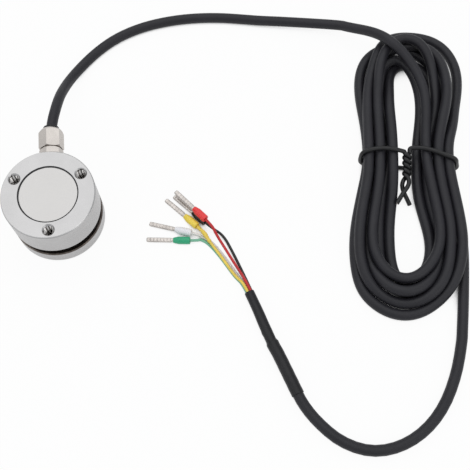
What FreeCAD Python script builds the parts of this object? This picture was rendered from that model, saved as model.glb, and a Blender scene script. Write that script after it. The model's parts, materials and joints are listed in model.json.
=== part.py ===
import FreeCAD, Part
import math
import os

# Pancake load cell with a three-bolt steel body, a side cable gland and a coiled lead.
# Millimetres, +Z up. The origin is the centre of the base face, and the gland points along +Y.

V = FreeCAD.Vector
Z_AXIS = V(0, 0, 1)
Y_AXIS = V(0, 1, 0)

# Steel body
body_diameter = 32.0
flange_height = 6.0
groove_height = 3.9
ring_height = 12.6
neck_diameter = 11.0
neck_fillet = 1.2
edge_chamfer = 0.4
bolt_edge = 3.0
base_bolt_edge = 4.5
bolt_count = 3
first_bolt_angle = 30.0
thread_drill = 3.3
thread_depth = 8.0
countersink_diameter = 4.3
drill_point_height = 0.95
cover_land = 0.5
cover_ledge = 1.15
cover_seat_depth = 1.2
web_thickness = 1.7
hub_diameter = 6.0
hub_height = 2.3

# Cover disc, a loose fit in its seat
cover_gap = 0.33
cover_thickness = 1.0
cover_chamfer = 0.12

# Sensing circuit inside the cavity
gauge_length = 3.4
gauge_share = 0.6
gauge_thickness = 0.12
gauge_tab_share = 0.4
gauge_count = 4
first_gauge_angle = 45.0
board_gap = 1.0
board_flat = 0.8
board_thickness = 0.8
pad_spacing = 2.0
pad_inset = 3.0
lead_wire_diameter = 0.25
lead_wire_spacing = 1.2
resistor_length = 2.0
resistor_width = 1.25
resistor_height = 0.5
resistor_spacing = 3.4
resistor_inset = 3.6
resistor_cap = 0.4
resistor_cap_rise = 0.06

# Cable gland
gland_over_board = 0.1
port_diameter = 5.0
port_chamfer = 0.3
thread_clearance = 0.04
spotface_diameter = 9.2
spotface_depth = 0.6
seal_diameter = 8.0
seal_rounding = 0.2
seal_thickness = 0.8
gland_hex_flats = 7.3
gland_hex_length = 3.8
gland_hex_turn = 17.0
gland_barrel_diameter = 6.2
gland_barrel_length = 4.6
nut_flats = 7.7
nut_length = 7.4
nut_turn = 18.5
nut_gap = 0.3
nut_front_wall = 1.0
nut_front_bore = 5.2
nut_front_chamfer = 1.2
nut_face_inset = 0.35
hex_chamfer = 0.35
rim_land = 0.1
grommet_lip_diameter = 5.7
grommet_lip_length = 1.4
grommet_rounding = 0.5
bore_clearance = 0.05

# Cable
cable_diameter = 3.8
jacket_reach = 5.0
lead_straight = 7.0
arc_share = 0.45
core_diameter = 1.0
core_pitch = 0.56
core_straight = 1.4
core_stagger = 0.5
core_arch_height = 1.5
core_arch_length = 2.4

# Coil, two layers deep, tied at its waist
coil_height = 7.4
coil_rounding = 2.6

# Heat-shrink sleeve over the end of the jacket
sleeve_wall = 0.3
sleeve_bore_small = 2.9
sleeve_shoulder_length = 2.4
sleeve_lift = 0.1
sleeve_cut_overrun = 0.5

# Flying wires and crimp ferrules
wire_diameter = 1.0
wire_ring_radius = 0.88
wire_gather = 0.985
wire_free_run = 3.6
wire_lead_in = 3.2
wire_insertion = 3.0
pin_diameter = 1.2
pin_length = 9.6
collar_diameter = 2.7
collar_length = 6.0
collar_nose_diameter = 1.9
collar_taper = 1.8
collar_bore_clearance = 0.03
collar_funnel_depth = 0.5
collar_funnel_flare = 0.35
collar_edge = 0.15
crimp_count = 6
crimp_pitch = 1.25
crimp_depth = 0.2
crimp_width = 0.6
first_crimp = 0.9

# Twist tie round the waist of the coil
tie_diameter = 1.6
tie_corner_run = 3.5
tie_clearance = 0.08
tie_bite = 0.15
tie_turns = 1.5
tie_twist_radius = 0.82

body_radius = body_diameter / 2
bolt_circle = body_diameter - 2 * bolt_edge
base_bolt_circle = body_diameter - 2 * base_bolt_edge
cover_seat_diameter = bolt_circle - countersink_diameter - 2 * cover_land
cavity_diameter = cover_seat_diameter - 2 * cover_ledge
board_diameter = cavity_diameter - 2 * board_gap
web_width = (cavity_diameter - neck_diameter) / 2
gauge_radius = (neck_diameter + web_width) / 2
gauge_width = gauge_share * web_width
gauge_tab = gauge_tab_share * gauge_width
ring_base = flange_height + groove_height
body_height = ring_base + ring_height
cover_seat = body_height - cover_seat_depth
web_top = ring_base + web_thickness
board_base = web_top + hub_height
board_top = board_base + board_thickness
board_front = board_diameter / 2 - board_flat
pad_distance = board_front - pad_inset
resistor_distance = board_diameter / 2 - resistor_inset
gland_height = board_top + gland_over_board
spotface_plane = body_radius - spotface_depth
jacket_end = spotface_plane - jacket_reach
cable_radius = cable_diameter / 2
wire_radius = wire_diameter / 2
hex_base = spotface_plane + seal_thickness
hex_front = hex_base + gland_hex_length
barrel_front = hex_front + gland_barrel_length
nut_base = hex_front + nut_gap
nut_front = nut_base + nut_length
lip_front = nut_front + grommet_lip_length
sleeve_height = cable_radius + bore_clearance + sleeve_wall
mouth_height = sleeve_bore_small / 2 + sleeve_wall + sleeve_lift
tie_height = coil_height + tie_diameter / 2 - tie_bite
ferrule_length = collar_length + pin_length
collar_straight = collar_length - collar_taper

# A ferrule lies on its collar and on the tip of its pin, so it slopes down to the tip
ferrule_drop = (collar_diameter - pin_diameter) / 2 / (ferrule_length - collar_straight)
collar_height = collar_diameter / 2 + collar_straight * ferrule_drop

# Route of the lead from the gland to the coil, across the floor
lead_route = [
    V(0.0, jacket_end, gland_height), V(0.0, hex_front, gland_height + 0.02),
    V(0.0, lip_front + lead_straight, gland_height), V(0.3, 47.6, 8.4), V(3.6, 57.6, cable_radius),
    V(15.0, 70.4, cable_radius), V(33.0, 79.4, cable_radius), V(57.0, 81.0, cable_radius),
    V(82.0, 75.6, cable_radius), V(105.0, 73.4, cable_radius), V(120.5, 70.0, cable_radius),
    V(131.5, 60.0, cable_radius)]

# Route of the tail from under the coil to the sleeve
tail_route = [
    V(139.3, -31.0, cable_radius), V(138.9, -44.5, cable_radius), V(136.3, -58.5, cable_radius),
    V(130.5, -74.5, cable_radius), V(121.0, -86.5, cable_radius), V(107.5, -93.0, cable_radius),
    V(93.5, -91.0, cable_radius), V(82.1, -80.2, sleeve_height),
    V(77.05, -67.7, sleeve_height + 0.02), V(72.0, -55.2, sleeve_height)]

# The sleeve's middle line, from its cable end over its shoulder to its mouth
sleeve_start = V(78.75, -71.9, sleeve_height)
sleeve_shoulder = V(72.0, -55.2, sleeve_height)
sleeve_mouth = V(65.1, -34.4, mouth_height)

# Outline of the coil seen from above, clockwise from its top, and of its open middle
coil_outer = [
    (135.0, 65.2), (126.0, 64.0), (117.4, 57.6), (112.2, 47.0), (111.0, 33.0), (112.0, 14.0),
    (105.6, -3.5), (101.4, -20.0), (100.8, -33.0), (105.6, -44.6), (117.0, -51.8),
    (130.5, -48.4), (141.2, -36.5), (144.7, -21.0), (144.2, -8.0), (143.5, 5.5),
    (151.6, 30.0), (154.6, 44.0), (152.6, 56.6), (144.6, 64.0)]
coil_inner = [
    (130.4, 47.0), (126.6, 41.0), (125.3, 28.0), (123.8, 12.0), (121.2, -4.0), (118.0, -17.0),
    (116.7, -28.0), (119.6, -35.6), (124.8, -33.2), (127.9, -22.0), (127.2, -8.0),
    (128.6, 8.0), (131.2, 22.0), (133.8, 38.0)]

# Middle of the tie, its direction across the coil and the reach of its loop to each side
tie_middle = V(127.9, 11.2, 0)
tie_direction = V(0.979, -0.204, 0)
tie_reach = 17.6
tie_twist_start = V(125.8, 10.2, tie_height + 0.85)
tie_twist_end = V(125.9, 4.2, tie_height - 1.45)
tie_ends = [[V(123.5, 0.7, tie_height - 1.85), V(123.6, -2.9, tie_height - 1.95),
             V(124.8, -8.9, tie_height - 3.9)],
            [V(126.7, 0.5, tie_height - 2.85), V(123.8, -3.5, tie_height - 4.1),
             V(122.1, -7.3, tie_height - 4.3)]]

# Each flying wire: its place round the sleeve's middle line as an angle, its route from the
# mouth to the ferrule, the open end of the collar, the way the ferrule points, and how far the
# ferrule is lifted where it lies on the others
wires = {
    "black": dict(angle=-18.0, collar=(51.85, -7.05), aim=(-10.9, 12.0), lift=0.0,
                  route=[(62.7, -24.4, 0.6), (60.6, -18.6, 0.5), (58.0, -12.2, 0.6)]),
    "red": dict(angle=54.0, collar=(52.1, -6.8), aim=(-9.9, 11.9), lift=2.66,
                route=[(61.2, -24.2, 1.9), (58.1, -17.6, 1.7), (55.3, -12.2, 2.8)]),
    "yellow": dict(angle=126.0, collar=(48.85, -8.15), aim=(-9.4, 10.3), lift=0.0,
                   route=[(59.9, -24.8, 1.8), (55.9, -18.0, 1.65), (52.6, -13.0, 0.9)]),
    "green": dict(angle=198.0, collar=(45.95, -13.4), aim=(-16.2, 2.2), lift=0.0,
                  route=[(58.8, -25.4, 0.6), (55.0, -19.6, 0.5), (51.4, -15.4, 0.7)]),
    "white": dict(angle=270.0, collar=(46.6, -10.6), aim=(-15.0, 5.4), lift=0.0,
                  route=[(60.2, -25.4, 0.55), (56.4, -19.4, 0.5), (52.4, -14.2, 0.6)]),
}


def save(name, shape):
    """Writes one piece as a STEP file named after it."""
    shape.exportStep("parts/" + name + ".step")


def polar(radius, degrees, z):
    turn = math.radians(degrees)
    return V(radius * math.cos(turn), radius * math.sin(turn), z)


def turned(profile):
    """Revolves a closed outline of (radius, height) points about the vertical axis."""
    points = [V(radius, 0, height) for radius, height in profile]
    face = Part.Face(Part.makePolygon(points + points[:1]))
    return face.revolve(V(0, 0, 0), Z_AXIS, 360)


def along(shape, start, direction):
    """Moves a shape modelled up the Z axis so that it runs from start in a direction."""
    shape.Placement = FreeCAD.Placement(start, FreeCAD.Rotation(Z_AXIS, direction))
    return shape


def on_gland_axis(shape):
    """Lays a shape modelled up the Z axis along the gland, with its Z as distance from the middle."""
    turn = FreeCAD.Rotation(V(1, 0, 0), -90)
    shape.Placement = FreeCAD.Placement(V(0, 0, gland_height), turn)
    return shape


def hex_prism(flats, base, length, turn):
    corner = flats / math.sqrt(3)
    points = [polar(corner, turn + 60 * side, base) for side in range(6)]
    return Part.Face(Part.makePolygon(points + points[:1])).extrude(V(0, 0, length))


def rounded_path(points, closed=False, longest_cut=math.inf):
    """Joins straight runs with tangent arcs as large as the shorter run beside each allows."""
    count = len(points)
    corners = range(count) if closed else range(1, count - 1)
    arcs = {}
    radii = []
    for index in corners:
        here = points[index]
        back = points[index - 1] - here
        ahead = points[(index + 1) % count] - here
        half = (math.pi - back.getAngle(ahead)) / 2
        cut = min(arc_share * min(back.Length, ahead.Length), longest_cut)
        back.normalize()
        ahead.normalize()
        middle = (back + ahead).normalize()
        radius = cut / math.tan(half)
        reach = radius / math.cos(half) - radius
        arcs[index] = (here + back * cut, here + middle * reach, here + ahead * cut)
        radii.append(radius)
    edges = []
    last = arcs[count - 1][2] if closed else points[0]
    for index in corners:
        first, middle, end = arcs[index]
        edges.append(Part.LineSegment(last, first).toShape())
        edges.append(Part.Arc(first, middle, end).toShape())
        last = end
    if not closed:
        edges.append(Part.LineSegment(last, points[-1]).toShape())
    return Part.Wire(edges), radii


def tube(path, radius):
    """Sweeps a round section along a path."""
    start = path.OrderedEdges[0]
    point = start.valueAt(start.FirstParameter)
    section = Part.Wire(Part.makeCircle(radius, point, start.tangentAt(start.FirstParameter)))
    return Part.Solid(path.makePipeShell([section], True, True))


def cord(name, points, diameter):
    """Makes a cord's tube, and prints its length, its smallest bend and its volume."""
    path, radii = rounded_path(points)
    solid = tube(path, diameter / 2)
    ideal = path.Length * math.pi * diameter ** 2 / 4
    print(name, "length", round(path.Length, 1), "radii", [round(r, 1) for r in radii],
          "volume", round(solid.Volume, 2), "of", round(ideal, 2))
    return solid


def threaded_hole(point, mouth, depth, upward):
    """A tapped hole with its countersink, from a mouth height into the metal."""
    way = -1 if upward else 1
    drill = thread_drill / 2
    sink = countersink_diameter / 2
    profile = [(0, 0), (sink, 0), (drill, sink - drill), (drill, depth),
               (0, depth + drill_point_height)]
    hole = turned([(radius, mouth - way * distance) for radius, distance in profile])
    hole.translate(point)
    return hole


def bolt_places(circle, turn):
    """Places of the bolts round a circle, turned on from those of the top face."""
    step = 360 / bolt_count
    return [polar(circle / 2, first_bolt_angle + turn + step * index, 0)
            for index in range(bolt_count)]


def sensing_body():
    """Base flange, neck, bending web and outer ring, turned from one bar."""
    chamfer = edge_chamfer
    neck = neck_diameter / 2
    seat = cover_seat_diameter / 2
    cavity = cavity_diameter / 2
    hub = hub_diameter / 2
    body = turned([
        (0, 0), (body_radius - chamfer, 0), (body_radius, chamfer),
        (body_radius, flange_height - chamfer), (body_radius - chamfer, flange_height),
        (neck, flange_height), (neck, ring_base), (body_radius - chamfer, ring_base),
        (body_radius, ring_base + chamfer), (body_radius, body_height - chamfer),
        (body_radius - chamfer, body_height), (seat, body_height), (seat, cover_seat),
        (cavity, cover_seat), (cavity, web_top), (hub, web_top), (hub, board_base),
        (0, board_base)])
    roots = [edge for edge in body.Edges
             if len(edge.Vertexes) == 1 and abs(edge.BoundBox.XLength - neck_diameter) < 0.01]
    body = body.makeFillet(neck_fillet, roots)
    port = Part.makeCylinder(port_diameter / 2, body_radius, V(0, hub, gland_height), Y_AXIS)
    spotface = Part.makeCylinder(spotface_diameter / 2, body_radius,
                                 V(0, spotface_plane, gland_height), Y_AXIS)
    body = body.cut(port).cut(spotface)
    for place in bolt_places(bolt_circle, 0):
        body = body.cut(threaded_hole(place, body_height, thread_depth, False))
    for place in bolt_places(base_bolt_circle, 180 / bolt_count):
        through = Part.makeCylinder(thread_drill / 2, flange_height, place)
        body = body.cut(through).cut(threaded_hole(place, 0, thread_drill / 2, True))
    return body


def cover_disc():
    radius = cover_seat_diameter / 2 - cover_gap
    top = cover_seat + cover_thickness
    return turned([(0, cover_seat), (radius, cover_seat), (radius, top - cover_chamfer),
                   (radius - cover_chamfer, top), (0, top)])


def gauge_angle(index):
    return first_gauge_angle + 360 * index / gauge_count


def strain_gauge(index):
    """A foil gauge with two solder tabs, bonded on the middle of the web."""
    film = Part.makeBox(gauge_width, gauge_length, gauge_thickness,
                        V(gauge_radius - gauge_width / 2, -gauge_length / 2, web_top))
    for side in (-1, 1):
        tab = Part.makeBox(gauge_tab, gauge_tab, gauge_thickness,
                           V(gauge_radius - gauge_tab / 2,
                             side * lead_wire_spacing - gauge_tab / 2, web_top + gauge_thickness))
        film = film.fuse(tab)
    film.rotate(V(0, 0, 0), Z_AXIS, gauge_angle(index))
    return film


def bridge_leads():
    """Two fine wires from each gauge up to the underside of the board."""
    base = web_top + 2 * gauge_thickness
    leads = []
    for index in range(gauge_count):
        for side in (-1, 1):
            wire = Part.makeCylinder(lead_wire_diameter / 2, board_base - base,
                                     V(gauge_radius, side * lead_wire_spacing, base))
            wire.rotate(V(0, 0, 0), Z_AXIS, gauge_angle(index))
            leads.append(wire)
    return Part.makeCompound(leads)


def terminal_board():
    """Round board on the hub, with a flat cut beside the cable."""
    board = Part.makeCylinder(board_diameter / 2, board_thickness, V(0, 0, board_base))
    return board.cut(Part.makeBox(board_diameter, board_diameter, board_thickness,
                                  V(-board_diameter / 2, board_front, board_base)))


def trim_resistor(side):
    """A chip resistor with raised end caps on the board."""
    corner = V(side * resistor_spacing / 2 - resistor_length / 2,
               -resistor_distance - resistor_width / 2, board_top)
    chip = Part.makeBox(resistor_length, resistor_width, resistor_height, corner)
    middle = Part.makeBox(resistor_length - 2 * resistor_cap, resistor_width, resistor_cap_rise,
                          corner + V(resistor_cap, 0, resistor_height - resistor_cap_rise))
    return chip.cut(middle)


def inner_core(column, row, pad):
    """One conductor from the end of the jacket, arched over to its solder pad."""
    x = column * core_pitch
    z = gland_height + row * core_pitch
    arch = z + core_arch_height
    pad_x = pad * pad_spacing
    straight = core_straight - core_stagger * row
    route = [V(x, jacket_end, z), V(x, jacket_end - straight, z),
             V((x + pad_x) / 2, pad_distance + core_arch_length, arch),
             V(pad_x, pad_distance, arch), V(pad_x, pad_distance, board_top)]
    return cord("core", route, core_diameter)


def gland_body():
    """Spigot in the port, hexagon and barrel, with a bore for the cable."""
    bore = cable_radius + bore_clearance
    spigot = port_diameter / 2 - thread_clearance
    barrel = gland_barrel_diameter / 2
    lead_in = port_chamfer
    shoulder = (hex_base + hex_front) / 2
    shank = turned([
        (bore, jacket_end), (spigot - lead_in, jacket_end), (spigot, jacket_end + lead_in),
        (spigot, shoulder), (barrel, shoulder), (barrel, barrel_front - lead_in),
        (barrel - lead_in, barrel_front), (bore + lead_in, barrel_front),
        (bore, barrel_front - lead_in)])
    hexagon = hex_prism(gland_hex_flats, hex_base, gland_hex_length, gland_hex_turn)
    corner = gland_hex_flats / math.sqrt(3)
    across = gland_hex_flats / 2 + rim_land
    rims = turned([
        (bore, hex_base), (across, hex_base), (corner, hex_base + hex_chamfer),
        (corner, hex_front - hex_chamfer), (across, hex_front), (bore, hex_front)])
    return on_gland_axis(shank.fuse(hexagon.common(rims)))


def gland_seal_ring():
    inner = port_diameter / 2
    outer = seal_diameter / 2
    edge = seal_rounding
    ring = turned([(inner, spotface_plane), (outer - edge, spotface_plane),
                   (outer, spotface_plane + edge), (outer, hex_base - edge),
                   (outer - edge, hex_base), (inner, hex_base)])
    return on_gland_axis(ring)


def gland_nut():
    """Dome nut with chamfered corners and a round mouth for the grommet."""
    thread = gland_barrel_diameter / 2 + thread_clearance
    mouth = nut_front_bore / 2
    across = nut_flats / 2
    corner = nut_flats / math.sqrt(3)
    wall = nut_front - nut_front_wall
    envelope = turned([
        (thread, nut_base), (across + rim_land, nut_base), (corner, nut_base + hex_chamfer),
        (corner, nut_front - nut_front_chamfer), (across - nut_face_inset, nut_front),
        (mouth, nut_front), (mouth, wall), (thread, wall)])
    hexagon = hex_prism(nut_flats, nut_base, nut_length, nut_turn)
    return on_gland_axis(hexagon.common(envelope))


def gland_grommet():
    """Rubber bush squeezed on the cable, with a rounded lip outside the nut."""
    wall = nut_front - nut_front_wall
    bore = cable_radius + bore_clearance
    barrel = gland_barrel_diameter / 2
    neck = nut_front_bore / 2
    lip = grommet_lip_diameter / 2
    rounding = grommet_rounding
    bush = turned([
        (bore, barrel_front), (barrel, barrel_front), (barrel, wall), (neck, wall),
        (neck, nut_front), (lip, nut_front), (lip, lip_front - rounding),
        (lip - 0.3 * rounding, lip_front - 0.3 * rounding), (lip - rounding, lip_front),
        (bore, lip_front)])
    return on_gland_axis(bush)


def cable_coil():
    """Outer shape of the tied coil, open in its middle, with the groove the tie presses in it."""
    outer, _ = rounded_path([V(x, y, 0) for x, y in coil_outer], closed=True)
    inner, _ = rounded_path([V(x, y, 0) for x, y in coil_inner], closed=True)
    solid = Part.Face(outer).extrude(V(0, 0, coil_height))
    hole = Part.Face(inner).extrude(V(0, 0, coil_height))
    solid = solid.cut(hole)
    rims = [edge for edge in solid.Edges if edge.BoundBox.ZLength < 0.001]
    solid = solid.makeFillet(coil_rounding, rims)
    over_gap = tie_middle + Z_AXIS * (coil_height + tie_diameter / 2 - tie_bite)
    ends = [over_gap - tie_direction * tie_diameter, over_gap + tie_direction * tie_diameter]
    groove, _ = rounded_path(ends[:1] + tie_loop() + ends[1:], longest_cut=tie_corner_run)
    return solid.cut(tube(groove, tie_diameter / 2 + tie_clearance))


def sleeve_section(point, direction, radius):
    return Part.Wire(Part.makeCircle(radius, point, direction))


def sleeve_frame():
    """Directions of the two straight stretches of the sleeve."""
    first = (sleeve_shoulder - sleeve_start).normalize()
    second = (sleeve_mouth - sleeve_shoulder).normalize()
    return first, second


def sleeve_shell(extra, overrun):
    """Stepped tube round the jacket and the wires, extra thick and lengthened at both ends."""
    first, second = sleeve_frame()
    over_cable = cable_radius + bore_clearance + extra
    over_wires = sleeve_bore_small / 2 + extra
    narrow = sleeve_shoulder + second * sleeve_shoulder_length
    sections = [
        sleeve_section(sleeve_start - first * overrun, first, over_cable),
        sleeve_section(sleeve_shoulder, (first + second).normalize(), over_cable),
        sleeve_section(narrow, second, over_wires),
        sleeve_section(sleeve_mouth + second * overrun, second, over_wires)]
    return Part.makeLoft(sections, True, True)


def heat_shrink_sleeve():
    return sleeve_shell(sleeve_wall, 0).cut(sleeve_shell(0, sleeve_cut_overrun))


def cable_tail(coil):
    return cord("cable_tail", tail_route, cable_diameter).cut(coil)


def cable_lead(coil):
    return cord("cable_lead", lead_route, cable_diameter).cut(coil)


def wire_offset(angle):
    """Place of a wire beside the sleeve's middle line."""
    _, second = sleeve_frame()
    side = second.cross(Z_AXIS).normalize()
    turn = math.radians(angle)
    return (side * math.cos(turn) + Z_AXIS * math.sin(turn)) * wire_ring_radius


def ferrule_seat(wire):
    """Middle of the collar's open end, and the way the ferrule points."""
    level = V(*wire["aim"], 0).normalize()
    seat = V(*wire["collar"], collar_height + wire["lift"])
    return seat, (level - Z_AXIS * ferrule_drop).normalize()


def flying_wire(name, wire, tail):
    """Insulated wire from the end of the jacket, through the sleeve, into its collar."""
    offset = wire_offset(wire["angle"])
    seat, aim = ferrule_seat(wire)
    _, second = sleeve_frame()
    route = [sleeve_shoulder + offset,
             (sleeve_shoulder + sleeve_mouth) * 0.5 + offset * wire_gather,
             sleeve_mouth + second * wire_free_run + offset]
    route += [V(*point) for point in wire["route"]]
    route += [seat - aim * wire_lead_in, seat + aim * wire_insertion]
    return cord("wire_" + name, route, wire_diameter).cut(tail)


def ferrule_collar(wire):
    """Plastic funnel of a crimp ferrule, its nose towards the pin."""
    pin = pin_diameter / 2 + collar_bore_clearance
    mouth = wire_radius + collar_bore_clearance
    outer = collar_diameter / 2
    nose = collar_nose_diameter / 2
    collar = turned([
        (mouth, collar_funnel_depth), (mouth + collar_funnel_flare, 0), (outer - collar_edge, 0),
        (outer, collar_edge), (outer, collar_straight), (nose, collar_length),
        (pin, collar_length), (pin, wire_insertion), (mouth, wire_insertion)])
    return along(collar, *ferrule_seat(wire))


def ferrule_pin(wire):
    """Tinned tube of the ferrule, crimped flat on two sides in a row of notches."""
    radius = pin_diameter / 2
    pin = Part.makeCylinder(radius, pin_length + collar_length - wire_insertion,
                            V(0, 0, wire_insertion))
    first = collar_length + first_crimp
    for index in range(crimp_count):
        for side in (-1, 1):
            notch = Part.makeBox(2 * radius, radius, crimp_width,
                                 V(-radius, -radius / 2, first + index * crimp_pitch))
            notch.translate(V(0, side * (1.5 * radius - crimp_depth), 0))
            pin = pin.cut(notch)
    return along(pin, *ferrule_seat(wire))


def tie_loop():
    """Corners of the rounded rectangle of wire round the waist of the coil, from its top left."""
    low = tie_diameter / 2
    high = coil_height + tie_diameter / 2 - tie_bite
    corners = [(-tie_reach, high), (-tie_reach, low), (tie_reach, low), (tie_reach, high)]
    return [tie_middle + tie_direction * reach + Z_AXIS * z for reach, z in corners]


def tie_strand(phase):
    """One strand of the twisted stretch, a helix from its start to its end."""
    axis = tie_twist_end - tie_twist_start
    way = V(axis.x, axis.y, axis.z).normalize()
    side = way.cross(Z_AXIS).normalize()
    rise = side.cross(way)
    steps = 12
    points = []
    for step in range(steps + 1):
        turn = math.radians(phase + 360 * tie_turns * step / steps)
        spoke = side * math.cos(turn) + rise * math.sin(turn)
        points.append(tie_twist_start + axis * (step / steps) + spoke * tie_twist_radius)
    return points


def twist_tie():
    """One plastic-coated wire, looped round the coil, twisted on itself, with two free ends."""
    left = tie_strand(0) + tie_ends[0]
    right = tie_strand(180) + tie_ends[1]
    path, _ = rounded_path(left[::-1] + tie_loop() + right, longest_cut=tie_corner_run)
    return tube(path, tie_diameter / 2)


def main():
    os.makedirs("parts", exist_ok=True)
    save("sensing_body", sensing_body())
    save("cover_disc", cover_disc())
    for index in range(gauge_count):
        save("strain_gauge_%d" % (index + 1), strain_gauge(index))
    save("bridge_leads", bridge_leads())
    save("terminal_board", terminal_board())
    save("trim_resistor_1", trim_resistor(-1))
    save("trim_resistor_2", trim_resistor(1))
    save("core_red", inner_core(-1, 1, -1.5))
    save("core_black", inner_core(-1, -1, -0.5))
    save("core_green", inner_core(1, -1, 0.5))
    save("core_white", inner_core(1, 1, 1.5))
    save("gland_seal_ring", gland_seal_ring())
    save("gland_body", gland_body())
    save("gland_nut", gland_nut())
    save("gland_grommet", gland_grommet())
    save("twist_tie", twist_tie())
    coil = cable_coil()
    save("cable_coil", coil)
    save("cable_lead", cable_lead(coil))
    tail = cable_tail(coil)
    save("cable_tail", tail)
    save("heat_shrink_sleeve", heat_shrink_sleeve())
    for name, wire in wires.items():
        save("wire_" + name, flying_wire(name, wire, tail))
        save("ferrule_collar_" + name, ferrule_collar(wire))
        save("ferrule_pin_" + name, ferrule_pin(wire))


main()
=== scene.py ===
import json
import math

import bpy
import numpy as np
from mathutils import Matrix, Vector


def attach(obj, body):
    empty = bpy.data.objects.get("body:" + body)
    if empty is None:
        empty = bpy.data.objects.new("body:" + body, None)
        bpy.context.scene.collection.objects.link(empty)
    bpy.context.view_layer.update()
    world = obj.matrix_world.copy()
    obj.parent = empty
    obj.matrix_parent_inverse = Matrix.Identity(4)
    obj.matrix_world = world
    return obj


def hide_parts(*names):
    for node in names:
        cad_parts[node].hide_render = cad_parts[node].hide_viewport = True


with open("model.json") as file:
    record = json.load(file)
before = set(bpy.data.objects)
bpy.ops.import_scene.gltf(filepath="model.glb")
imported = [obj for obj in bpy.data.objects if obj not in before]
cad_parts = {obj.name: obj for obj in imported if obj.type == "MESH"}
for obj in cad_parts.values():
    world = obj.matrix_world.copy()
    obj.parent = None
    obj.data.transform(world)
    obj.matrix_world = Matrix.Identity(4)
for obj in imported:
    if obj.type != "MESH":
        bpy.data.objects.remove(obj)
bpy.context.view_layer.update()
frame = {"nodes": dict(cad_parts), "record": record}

# Lengths are in millimetres up to the last step, where MM turns them into metres.
MM = 0.001
UP = Vector((0, 0, 1))

# The camera stands where the photograph was taken from. PICTURE and FOCAL are in pixels of the photograph,
# and NEAR_CLIP is in metres.
EYE = Vector((52.59, -114.70, 277.73))
LOOK_AT = Vector((62.10, -12.19, 0.0))
PICTURE = 470
FOCAL = 825.3
SENSOR = 36.0
NEAR_CLIP = 0.01

# Thickness of the cable, a wire and the tie, height of the gland's middle, and the lowest height of a thin skin
CABLE = 3.8
CABLE_RADIUS = CABLE / 2
WIRE = 1.0
TIE = 1.6
GLAND_HEIGHT = 14.8
FLOOR_CLEARANCE = 0.02


def picture_axes():
    forward = (LOOK_AT - EYE).normalized()
    right = forward.cross(UP).normalized()
    return forward, right, right.cross(forward)


def on_picture(x, y, height):
    """The point at a height above the floor that the camera sees at a pixel of the photograph."""
    forward, right, up = picture_axes()
    centre = PICTURE / 2
    ray = forward + right * ((x - centre) / FOCAL) - up * ((y - centre) / FOCAL)
    return EYE + ray * ((height - EYE.z) / ray.z)


def set_camera():
    data = bpy.data.cameras.new("camera")
    data.sensor_width = SENSOR
    data.lens = FOCAL / PICTURE * SENSOR
    data.clip_start = NEAR_CLIP
    camera = bpy.data.objects.new("camera", data)
    bpy.context.collection.objects.link(camera)
    forward, right, up = picture_axes()
    turn = Matrix((right, up, -forward)).transposed()
    camera.matrix_world = Matrix.Translation(EYE * MM) @ turn.to_4x4()
    bpy.context.scene.camera = camera


# ---------------------------------------------------------------- materials

# Painted shade in the groove below the load ring, with lighter painted reflection streaks: lowest and highest Z,
# radius, and colours
GROOVE_PAINTED_SHADE_ZONE = (5.55, 9.97, 16.1)
GROOVE_PAINTED_SHADE_COLOURS = [(0.35, (0.10, 0.082, 0.072)), (0.58, (0.20, 0.17, 0.15)), (0.72, (0.48, 0.44, 0.41))]

# A painted highlight runs along the edge of the top face: lowest and highest Z, inner and outer radius, and colours
EDGE_HIGHLIGHT_HEIGHTS = (22.36, 22.6)
EDGE_HIGHLIGHT_RADII = (15.62, 15.95)
EDGE_HIGHLIGHT_COLOURS = [(0.3, (0.78, 0.77, 0.76)), (0.7, (0.92, 0.91, 0.90))]

# Each plastic: colour, roughness, mottling, grain in waves per metre, relief in metres and, where they aren't
# those of plain plastic, specular level and clear coat
PLASTICS = {
    "seal_rubber": ((0.022, 0.022, 0.024), 0.62, 0.12, 1400.0, 0.00003, 0.35),
    "gauge_film": ((0.56, 0.28, 0.07), 0.22, 0.10, 2500.0, 0.000004, 0.5, 0.5),
    "board_laminate": ((0.025, 0.16, 0.07), 0.30, 0.12, 3000.0, 0.000008, 0.5, 0.4),
    "chip_resistor": ((0.030, 0.030, 0.032), 0.35, 0.10, 4000.0, 0.000008),
    "cable_jacket": ((0.0165, 0.0160, 0.0205), 0.48, 0.12, 700.0, 0.000012, 0.38),
    "heat_shrink": ((0.0105, 0.0105, 0.0125), 0.36, 0.14, 700.0, 0.00004, 0.36),
    "tie_plastic": ((0.009, 0.009, 0.010), 0.36, 0.12, 1500.0, 0.00003, 0.45),
    "insulation_black": ((0.010, 0.010, 0.011), 0.30, 0.08, 1200.0, 0.000008),
    "insulation_red": ((0.56, 0.018, 0.022), 0.32, 0.08, 1200.0, 0.000008),
    "insulation_yellow": ((0.88, 0.66, 0.10), 0.34, 0.08, 1200.0, 0.000008),
    "insulation_green": ((0.20, 0.50, 0.34), 0.34, 0.08, 1200.0, 0.000008),
    "insulation_white": ((0.78, 0.76, 0.73), 0.36, 0.04, 1200.0, 0.000008),
    "collar_black": ((0.014, 0.014, 0.015), 0.30, 0.08, 1500.0, 0.000010),
    "collar_red": ((0.86, 0.045, 0.045), 0.30, 0.06, 1500.0, 0.000010),
    "collar_yellow": ((0.92, 0.71, 0.09), 0.32, 0.06, 1500.0, 0.000010),
    "collar_green": ((0.030, 0.40, 0.20), 0.30, 0.06, 1500.0, 0.000010),
    "collar_white": ((0.86, 0.86, 0.89), 0.32, 0.03, 1500.0, 0.000010),
}

# Each plated or drawn metal: colour, roughness and, where they aren't those of plain metal, grain in waves
# per metre, relief in metres and mottling
METALS = {
    "gland_nickel": ((0.60, 0.56, 0.525), 0.28),
    "lead_copper": ((0.78, 0.42, 0.24), 0.30, 2500.0, 0.000006),
    "pin_tin": ((0.60, 0.555, 0.52), 0.30, 2600.0, 0.00002, 0.18),
}


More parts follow.
